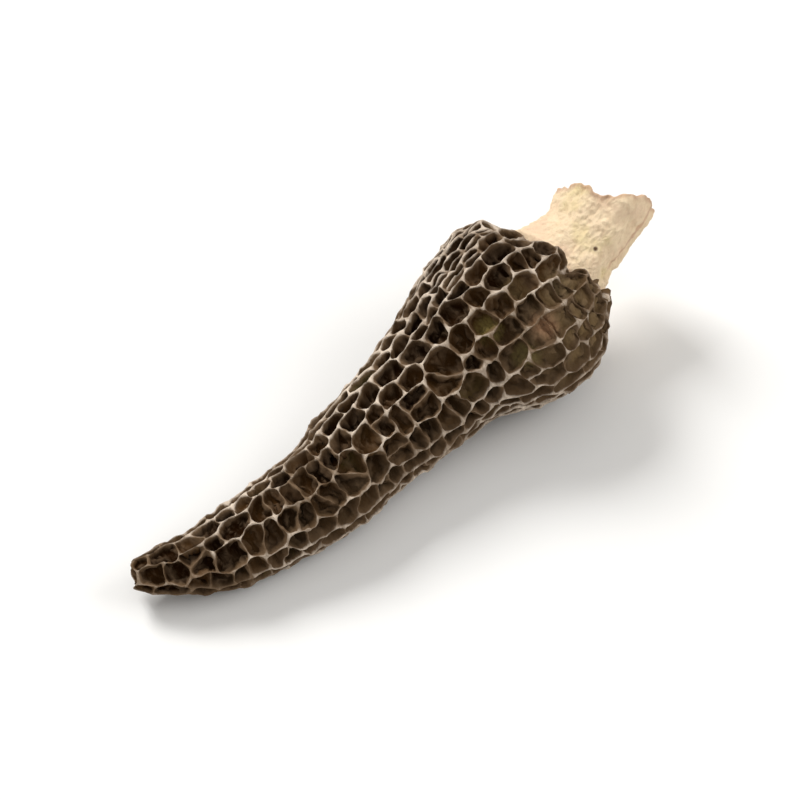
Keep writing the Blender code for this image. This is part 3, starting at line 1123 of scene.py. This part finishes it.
    def rough_mesh(self) -> bpy.types.Mesh:
        """The net with one flat face for each pit, and the lip behind it.

        Returns:
            The mesh, in the row's frame, with the marks that the pits are sunk by.
        """
        draw = random.Random(SEED)
        bm = bmesh.new()
        depth, hue = (bm.faces.layers.float.new(mark.value) for mark in (Mark.DEPTH, Mark.HUE))
        worn, sunk = (bm.verts.layers.float.new(mark.value) for mark in (Mark.WORN, Mark.SUNK))
        outlines = (self.outline_of(cell) for cell in self.net.cells())
        for strip, sags, wear in (part for outline in outlines for part in self.parted(*outline)):
            places, inner = self.net.skin.points(strip), self.net.skin.middle(strip)
            corners = []
            for place, way, sag, amount in zip(places, unit(inner - places), sags, wear):
                vertex = bm.verts.new(self.ridge_point(place, Vector(way), sag))
                vertex[worn] = amount
                corners.append(vertex)
            face = bm.faces.new(corners)
            reach = float(np.linalg.norm(places.mean(axis=0) - inner.mean(axis=0)))
            spread = 1 + draw.uniform(-self.depth_spread, self.depth_spread)
            region, share = self.filled
            spread *= 1 - share * max(0.0, 1 - region.away(places) / region.reach)
            face[depth] = min(self.pit_depth, self.deepest_share * reach) * spread * MM
            face[hue] = draw.random()
        bmesh.ops.remove_doubles(bm, verts=bm.verts, dist=self.weld)
        self.close_tip(bm, depth)
        self.close_lip(bm, depth, sunk)
        bmesh.ops.recalc_face_normals(bm, faces=bm.faces)
        for vertex in bm.verts:
            vertex.co = vertex.co * MM + SPINE_START
        mesh = bpy.data.meshes.new("cap_net")
        bm.to_mesh(mesh)
        bm.free()
        return mesh

    def close_tip(self, bm: bmesh.types.BMesh, depth: bmesh.types.BMLayerItem) -> None:
        """Closes the tip with one small pit.

        Args:
            bm: The rough mesh.
            depth: The layer of the faces' depths.
        """
        reach = self.net.skin.spine.points[2][0]
        edges = [edge for edge in bm.edges if edge.is_boundary and edge.verts[0].co.x < reach]
        bmesh.ops.contextual_create(bm, geom=edges)["faces"][0][depth] = self.tip_depth * MM

    def close_lip(
        self, bm: bmesh.types.BMesh, depth: bmesh.types.BMLayerItem, sunk: bmesh.types.BMLayerItem
    ) -> None:
        """Turns the edge at the stem inwards in a lip without pits and closes it behind the stem's root.

        Args:
            bm: The rough mesh.
            depth: The layer of the faces' depths.
            sunk: The layer of how deep in a pit the vertices count as.
        """
        skin = self.net.skin
        edges = [edge for edge in bm.edges if edge.is_boundary]
        rings = [(radius, None) for radius in self.lip_radii] + [(self.lip_radii[-1], self.lip_floor)]
        for radius, along in rings:
            grown = bmesh.ops.extrude_edge_only(bm, edges=edges)["geom"]
            for vertex in (item for item in grown if isinstance(item, bmesh.types.BMVert)):
                centre = skin.spine.place(vertex.co.x, 0.0, 0.0, 1.0)
                outwards = np.array(vertex.co) - centre
                turn = math.atan2(outwards[2] / skin.height_share, outwards[1])
                level = vertex.co.x - self.lip_step if along is None else along
                vertex.co = Vector(skin.spine.place(level, turn, radius, skin.height_share))
                vertex[sunk] = self.bare_sunk
            for face in (item for item in grown if isinstance(item, bmesh.types.BMFace)):
                face[depth] = 0.0
            edges = [item for item in grown if isinstance(item, bmesh.types.BMEdge) and item.is_boundary]
        bmesh.ops.contextual_create(bm, geom=edges)["faces"][0][depth] = 0.0

    def add_pits(self, carrier: bpy.types.Object, material: bpy.types.Material) -> None:
        """Puts the tree that sinks the pits on the rough net and sets its inputs.

        Args:
            carrier: The object with the rough net.
            material: The cap's finish.
        """
        sizes = {
            "Ridge Roughness": self.lumps[0] * MM,
            "Floor Roughness": self.floor_roughness * MM,
            "Kinks": self.kinks[0] * MM,
            "Veins": self.veins[0] * MM,
            "Most Drawn In": self.most_drawn_in,
        }
        tree = self.pit_tree(material, list(sizes))
        modifier = carrier.modifiers.new("pits", "NODES")
        modifier.node_group = tree
        for item in tree.interface.items_tree:
            if item.item_type == "SOCKET" and item.in_out == "INPUT" and item.name in sizes:
                modifier[item.identifier] = sizes[item.name]

    def pit_tree(self, material: bpy.types.Material, sizes: list[str]) -> bpy.types.NodeTree:
        """The tree that sinks each face of the net into a pit and wrinkles the whole.

        Args:
            material: The cap's finish.
            sizes: The names of the tree's inputs for its sizes.

        Returns:
            The tree.
        """
        inputs = {"Geometry": "Geometry", **dict.fromkeys(sizes, "Float")}
        graph, given = new_tree("sink_pits", "GeometryNodeTree", inputs, {"Geometry": "Geometry"})
        mesh = graph.add("GeometryNodeSplitEdges", {"Mesh": given["Geometry"]}).outputs["Mesh"]
        for mark, kind in ((Mark.MIDDLE, "GeometryNodeInputPosition"), (Mark.OUT, "GeometryNodeInputNormal")):
            value = graph.add(kind).outputs[0]
            mesh = graph.store(mesh, mark, value, data_type="FLOAT_VECTOR", domain="FACE")
        pitted = {0: graph.field(Mark.DEPTH), 1: 0.0}
        chosen = graph.add("FunctionNodeCompare", pitted, operation="GREATER_THAN").outputs[0]
        for step in self.steps:
            mesh, chosen = self.sink(graph, mesh, chosen, step, given["Most Drawn In"])
        mesh = graph.add("GeometryNodeMergeByDistance", {"Geometry": mesh, "Distance": SAME_POINT}).outputs[0]
        mesh = graph.add("GeometryNodeSubdivisionSurface", {"Mesh": mesh, "Level": 1}).outputs[0]
        mesh = self.wrinkled(graph, mesh, given)
        x, y, z = graph.parts(graph.add("GeometryNodeInputPosition").outputs[0])
        resting = {0: x, 1: y, 2: graph.math("MAXIMUM", z, 0.0)}
        position = graph.add("ShaderNodeCombineXYZ", resting).outputs[0]
        mesh = graph.add("GeometryNodeSetPosition", {"Geometry": mesh, "Position": position}).outputs[0]
        mesh = graph.add("GeometryNodeSetShadeSmooth", {0: mesh}).outputs[0]
        mesh = graph.add("GeometryNodeRealizeInstances", {0: mesh}).outputs[0]
        mesh = graph.add("GeometryNodeSetMaterial", {"Geometry": mesh, "Material": material}).outputs[0]
        graph.add("NodeGroupOutput", {"Geometry": mesh})
        return graph.tree

    def sink(
        self, graph: Graph, mesh: Socket, chosen: Socket, step: Step, most: Socket
    ) -> tuple[Socket, Socket]:
        """Adds one step of the pits' walls to the tree.

        Args:
            graph: The tree.
            mesh: The mesh so far.
            chosen: Which faces are floors.
            step: The sizes of the step.
            most: The largest share of the way to a pit's middle that a step takes.

        Returns:
            The mesh, and which of its faces are floors now.
        """
        out, middle = (graph.field(mark, "FLOAT_VECTOR") for mark in (Mark.OUT, Mark.MIDDLE))
        drop = graph.math("MULTIPLY_ADD", graph.field(Mark.DEPTH), -step.share, -step.drop * MM)
        values = {"Mesh": mesh, "Selection": chosen, "Offset": out, "Offset Scale": drop}
        grown = graph.add("GeometryNodeExtrudeMesh", values, mode="FACES").outputs
        lowered = graph.vector("ADD", middle, graph.scaled(out, drop))
        mesh = graph.store(grown["Mesh"], Mark.MIDDLE, lowered, data_type="FLOAT_VECTOR", domain="FACE")
        position = graph.add("GeometryNodeInputPosition").outputs[0]
        way = graph.vector("SUBTRACT", graph.field(Mark.MIDDLE, "FLOAT_VECTOR"), position)
        length = graph.vector("LENGTH", way, output="Value")
        share = graph.math("MINIMUM", graph.math("DIVIDE", step.sideways * MM, length), most)
        values = {"Geometry": mesh, "Selection": grown["Top"], "Offset": graph.scaled(way, share)}
        mesh = graph.add("GeometryNodeSetPosition", values).outputs[0]
        return graph.store(mesh, Mark.SUNK, step.sunk, grown["Top"], data_type="FLOAT"), grown["Top"]

    def wrinkled(self, graph: Graph, mesh: Socket, given: dict) -> Socket:
        """Adds the lumps, folds, veins and kinks of the dried cap to the tree.

        Args:
            graph: The tree.
            mesh: The mesh with its pits sunk.
            given: The tree's inputs.

        Returns:
            The wrinkled mesh.
        """
        sunk = graph.field(Mark.SUNK)
        position = graph.add("GeometryNodeInputPosition").outputs[0]
        fold_scale, stretch = self.folds
        stretched = graph.vector("MULTIPLY", position, stretch)
        lumps = graph.math("SUBTRACT", graph.noise(position, self.lumps[1], detail=2.0), NOISE_MIDDLE)
        folds = graph.math("SUBTRACT", graph.noise(stretched, fold_scale, detail=1.0), NOISE_MIDDLE)
        rough = graph.math("ADD", lumps, graph.math("MULTIPLY", folds, sunk))
        amount = graph.math("MULTIPLY_ADD", sunk, given["Floor Roughness"], given["Ridge Roughness"])
        _, vein_scale, width = self.veins
        vein = graph.math("SUBTRACT", graph.noise(stretched, vein_scale, detail=1.0), NOISE_MIDDLE)
        vein = graph.ease(graph.math("ABSOLUTE", vein), width, 0.0)
        mesh = graph.store(mesh, Mark.VEIN, vein, data_type="FLOAT")
        height = graph.math("MULTIPLY", sunk, given["Veins"])
        raised = graph.math("MULTIPLY", graph.field(Mark.VEIN), height)
        out = graph.math("MULTIPLY_ADD", rough, amount, raised)
        normal = graph.add("GeometryNodeInputNormal").outputs[0]
        kinked = graph.noise(position, self.kinks[1], detail=2.0, output="Color")
        kinked = graph.vector("SUBTRACT", kinked, [NOISE_MIDDLE] * 3)
        full, _, at_tip = self.calm_tip
        calm = graph.ease(graph.parts(position)[0], SPINE_START.x, SPINE_START.x + full * MM, at_tip, 1.0)
        kinks = graph.scaled(kinked, graph.math("MULTIPLY", given["Kinks"], calm))
        offset = graph.vector("ADD", graph.scaled(normal, out), kinks)
        return graph.add("GeometryNodeSetPosition", {"Geometry": mesh, "Offset": offset}).outputs[0]


@dataclass(frozen=True)
class Stem:
    """The stem: a folded, fibrous tube that flares to a ragged cut end, hollow down to its root.

    Args:
        spine: The mushroom's spine.
        outline: (distance along the spine, radius), from the root to the cut end.
        folds: Folds along the stem.
        folded_from: Where the folds start and where they are full, along the spine.
        rough_from: The same for the grain.
        flare_along: Where the flare towards one side grows and fades, along the spine.
        flare_share: How much it widens the stem there.
        flare_turn: The turn that it faces.
        cut: (lobes, how far they move the cut edge along the spine, phase).
        rim_width: How far from the cut edge the rim is browned.
        roll: The turn, half width and height of the rolled edge along one side.
        crease: The turn and half width of the brown crease beside it, and from where to where along the spine
            it comes up.
        fibres: The pitch of the fibres along the stem, their scale, how sharp they are, and their height.
        relief: (scale round the stem, scale along it, height) of the crumples, the grain and the fine grain.
        wall: The thickness of the wall at the root and at the rim.
        hollow_floor: Where the hollow ends, along the spine.
        floor_share: How wide the hollow is at its floor.
        height_share: How high the section is for its width.
        mean_radius: The radius that the map of the skin is laid out for.
        sides: How many points a ring has.
        rings: How many rings the outside has.
        hollow_rings: How many rings the hollow has.
    """

    spine: Spine
    outline: tuple = (
        (61.5, 6.6),
        (62.8, 6.9),
        (66.8, 6.95),
        (68.4, 6.8),
        (70.3, 6.1),
        (72.8, 5.6),
        (75.6, 5.7),
        (77.8, 6.0),
        (78.9, 6.3),
    )
    folds: tuple = (
        (2, 0.050, 1.0, 0.030),
        (3, 0.045, 0.4, 0.060),
        (7, 0.022, 2.0, 0.090),
        (11, 0.012, 5.0, -0.120),
    )
    folded_from: tuple = (67.2, 70.4)
    rough_from: tuple = (66.6, 67.4)
    flare_along: tuple = (68.3, 69.5, 71.2, 73.6)
    flare_share: tuple = (0.0, 0.21, 0.14, 0.0)
    flare_turn: float = 0.6
    cut: tuple = (
        (1, 1.9, 3.2),
        (3, 0.40, 4.1),
        (5, 0.30, 0.2),
        (8, 0.12, 2.6),
        (17, 0.10, 1.0),
        (29, 0.08, 3.0),
    )
    rim_width: float = 1.6
    roll: tuple = (3.27, 0.20, 0.34)
    crease: tuple = (3.0, 0.055, 69.5, 73.5)
    fibres: tuple = (0.06, 5.5, 2.4, 0.09)
    relief: tuple = ((2.2, 0.42, 0.34), (8, 1.4, 0.24), (19, 3.2, 0.13))
    wall: tuple = (0.9, 0.45)
    hollow_floor: float = 66.8
    floor_share: float = 0.85
    height_share: float = 0.86
    mean_radius: float = 6.0
    sides: int = 240
    rings: int = 100
    hollow_rings: int = 60

    def build(self) -> bpy.types.Object:
        """Builds and dresses the stem.

        Returns:
            The finished piece.
        """
        turns = np.arange(self.sides) / self.sides * FULL_TURN
        outside = [(share, self.outline[0][0], False) for share in np.linspace(0, 1, self.rings)]
        inside = [(share, self.hollow_floor, True) for share in np.linspace(1, 0, self.hollow_rings)]
        rows, marks = [], []
        for share, start, hollow in outside + inside:
            points, along = self.ring(share, turns, start, hollow)
            rows.append(points)
            inner = np.full(self.sides, float(hollow))
            marks.append(np.stack([self.browned(turns, along, hollow), inner, along], -1))
        mesh = self.mesh_of(np.array(rows) * MM + np.array(SPINE_START), np.array(marks))
        mesh.materials.append(StemFinish().material())
        return finish_piece("cut_stem", mesh, "stem")

    def edge(self, turns: np.ndarray) -> np.ndarray:
        """Where the cut edge is along the spine at each turn."""
        return self.outline[-1][0] + shifted(self.cut, turns)

    def browned(self, turns: np.ndarray, along: np.ndarray, hollow: bool) -> np.ndarray:
        """How much of the rim's colour the points of a ring have.

        Args:
            turns: The turns of its points.
            along: Where they are along the spine.
            hollow: Whether it is a ring of the hollow.

        Returns:
            For each point, from 0 to 1.
        """
        rim = np.clip(1 - (self.edge(turns) - along) / self.rim_width, 0, 1)
        if hollow:
            return rim
        side, width, start, full = self.crease
        line = np.exp(-(((turns - side) / width) ** 2)) * np.clip((along - start) / (full - start), 0, 1)
        return np.maximum(rim, line)

    def ring(
        self, share: float, turns: np.ndarray, start: float, hollow: bool
    ) -> tuple[np.ndarray, np.ndarray]:
        """One ring of the stem.

        Args:
            share: How far the ring is on the way to the cut end.
            turns: The turns of its points.
            start: Where the way starts, along the spine.
            hollow: Whether it is a ring of the hollow.

        Returns:
            The ring's points, and where they are along the spine.
        """
        cut = self.edge(turns) - self.outline[-1][0]
        along = start + (self.outline[-1][0] - start) * share + cut * share**3
        curve = catmull_rom(self.outline)
        folded, rough = (
            np.clip((along - low) / (high - low), 0, 1) for low, high in (self.folded_from, self.rough_from)
        )
        radius = np.interp(along, curve[:, 0], curve[:, 1])
        radius *= 1 + folded * (swell(self.folds, turns, along) - 1)
        flare = np.interp(along, self.flare_along, self.flare_share)
        radius *= 1 + flare * np.maximum(np.cos(turns - self.flare_turn), 0.0) ** 2
        side, width, height = self.roll
        radius += folded * height * np.exp(-(((turns - side) / width) ** 2))
        pitch, scale, sharpness, height = self.fibres
        for index, turn in enumerate(turns):
            around = Vector((math.cos(turn), math.sin(turn), along[index] * pitch))
            fibre = height * (1 - abs(noise.noise(around * scale)) * sharpness)
            crumple, grain, fine = (
                tall * noise.noise(Vector((around.x * wide, around.y * wide, along[index] * far)))
                for wide, far, tall in self.relief
            )
            radius[index] += folded[index] * (fibre + crumple) + rough[index] * (grain + fine)
        if hollow:
            radius = radius - (self.wall[0] + (self.wall[1] - self.wall[0]) * share)
            if not share:
                radius = radius * self.floor_share
        return self.spine.place(along, turns, radius, self.height_share), along

    def mesh_of(self, rows: np.ndarray, marks: np.ndarray) -> bpy.types.Mesh:
        """Joins rings of points into one closed mesh.

        Args:
            rows: The rings' points, in metres.
            marks: For each point, how browned it is, whether it is inside, and where it is along the spine.

        Returns:
            The mesh with its marks and its map of the skin.
        """
        count, sides, _ = rows.shape
        indices = np.arange(count * sides).reshape(count, sides)
        after = np.roll(indices, -1, axis=1)
        quads = np.stack([indices[:-1], after[:-1], after[1:], indices[1:]], -1).reshape(-1, 4)
        faces = [tuple(map(int, quad)) for quad in quads]
        faces += [tuple(map(int, indices[0][::-1])), tuple(map(int, indices[-1]))]
        mesh = bpy.data.meshes.new("stem")
        mesh.from_pydata(rows.reshape(-1, 3).tolist(), [], faces)
        for column, mark in enumerate((Mark.RIM, Mark.INSIDE)):
            layer = mesh.attributes.new(mark.value, "FLOAT", "POINT")
            layer.data.foreach_set("value", marks[..., column].astype(np.float32).ravel())
        self.map_skin(mesh, marks[..., 2])
        mesh.shade_smooth()
        mesh.update()
        bm = bmesh.new()
        bm.from_mesh(mesh)
        bmesh.ops.recalc_face_normals(bm, faces=bm.faces)
        bm.to_mesh(mesh)
        bm.free()
        return mesh

    def map_skin(self, mesh: bpy.types.Mesh, along: np.ndarray) -> None:
        """Maps the skin: round the stem by along it.

        Args:
            mesh: The closed mesh.
            along: Where the points of each ring are along the spine.
        """
        count, sides = along.shape
        around = np.arange(sides + 1) / sides * FULL_TURN * self.mean_radius
        corners = np.zeros((len(mesh.loops), 2), np.float32)
        quads = (count - 1) * sides
        rings, places = np.divmod(np.arange(quads), sides)
        for corner, (down, right) in enumerate(((0, 0), (0, 1), (1, 1), (1, 0))):
            corners[corner : quads * 4 : 4, 0] = around[places + right]
            corners[corner : quads * 4 : 4, 1] = along[rings + down, (places + right) % sides]
        mesh.uv_layers.new(name="skin").data.foreach_set("uv", corners.ravel())


@dataclass(frozen=True)
class View:
    """A way out from the mushroom, and a place on it that looks back.

    Args:
        azimuth: Its turn round the mushroom, in degrees; 0 looks along +Y.
        elevation: Its height above the horizon, in degrees.
        distance: How far away the place is, in metres.
    """

    azimuth: float
    elevation: float
    distance: float

    def aim(self, looker: bpy.types.Object, target: tuple = (0.0, 0.0, 0.0)) -> None:
        """Moves a light or a camera to the place and turns it to a target.

        Args:
            looker: The light or camera.
            target: What it looks at, in metres.
        """
        turn, tilt = math.radians(self.azimuth), math.radians(self.elevation)
        way = Vector((math.sin(turn) * math.cos(tilt), -math.cos(turn) * math.cos(tilt), math.sin(tilt)))
        looker.location = Vector(target) + way * self.distance
        looker.rotation_euler = way.to_track_quat("Z", "Y").to_euler()


@dataclass(frozen=True)
class SoftLight:
    """A square light that looks at the mushroom.

    Args:
        name: Its name.
        view: Where it stands.
        width: Its width, in metres.
        power: Its power, in watts.
    """

    name: str
    view: View
    width: float
    power: float

    def add(self) -> None:
        """Adds the light."""
        light = bpy.data.lights.new(self.name, "AREA")
        light.size = self.width
        light.energy = self.power
        self.view.aim(new_object(self.name, light))


@dataclass(frozen=True)
class Studio:
    """The pale floor, the soft lights and the camera at the photograph's viewing angle.

    Args:
        camera: Where the camera stands.
        target: What it looks at, in metres.
        lens: Its focal length.
        floor_size: The floor's width, in metres.
        floor_colour: The floor's colour.
        floor_roughness: How matte the floor is.
        lights: The lights.
        glow: The colour of the light from all round.
        glow_strength: How strong it is.
    """

    camera: View = View(-39.0, 53.5, 0.56)
    target: tuple = (0.001, 0.001, 0.008)
    lens: float = 200.0
    floor_size: float = 3.0
    floor_colour: tuple = (0.84, 0.83, 0.81, 1.0)
    floor_roughness: float = 0.9
    lights: tuple = (
        SoftLight("key", View(186.0, 48.0, 0.8), 0.35, 5.4),
        SoftLight("side", View(51.0, 40.0, 0.9), 0.60, 2.8),
        SoftLight("fill", View(-60.0, 35.0, 0.9), 0.60, 0.9),
        SoftLight("top", View(0.0, 88.0, 1.0), 0.80, 1.2),
    )
    glow: tuple = (1.0, 0.99, 0.97, 1.0)
    glow_strength: float = 0.38

    def build(self) -> None:
        """Builds the floor, the lights and the camera."""
        self.add_floor()
        for light in self.lights:
            light.add()
        world = bpy.data.worlds.new("studio")
        world.use_nodes = True
        background = world.node_tree.nodes["Background"]
        background.inputs["Color"].default_value = self.glow
        background.inputs["Strength"].default_value = self.glow_strength
        scene = bpy.context.scene
        scene.world = world
        scene.view_settings.view_transform = "Standard"
        lens = bpy.data.cameras.new("camera")
        lens.lens = self.lens
        scene.camera = new_object("camera", lens)
        self.camera.aim(scene.camera, self.target)

    def add_floor(self) -> None:
        """Adds the floor."""
        mesh = bpy.data.meshes.new("floor")
        half = self.floor_size / 2
        corners = [(x * half, y * half, 0.0) for x, y in ((-1, -1), (1, -1), (1, 1), (-1, 1))]
        mesh.from_pydata(corners, [], [(0, 1, 2, 3)])
        material, _, shader = new_material("pale_floor")
        shader.inputs["Base Color"].default_value = self.floor_colour
        shader.inputs["Roughness"].default_value = self.floor_roughness
        mesh.materials.append(material)
        floor = new_object("floor", mesh)


def main() -> None:
    """Builds the studio and the mushroom."""
    logging.basicConfig(level=logging.INFO, format="%(message)s")
    Studio().build()
    spine = Spine()
    Cap(Net(Skin(spine))).build()
    Stem(spine).build()


if __name__ == "__main__":
    main()
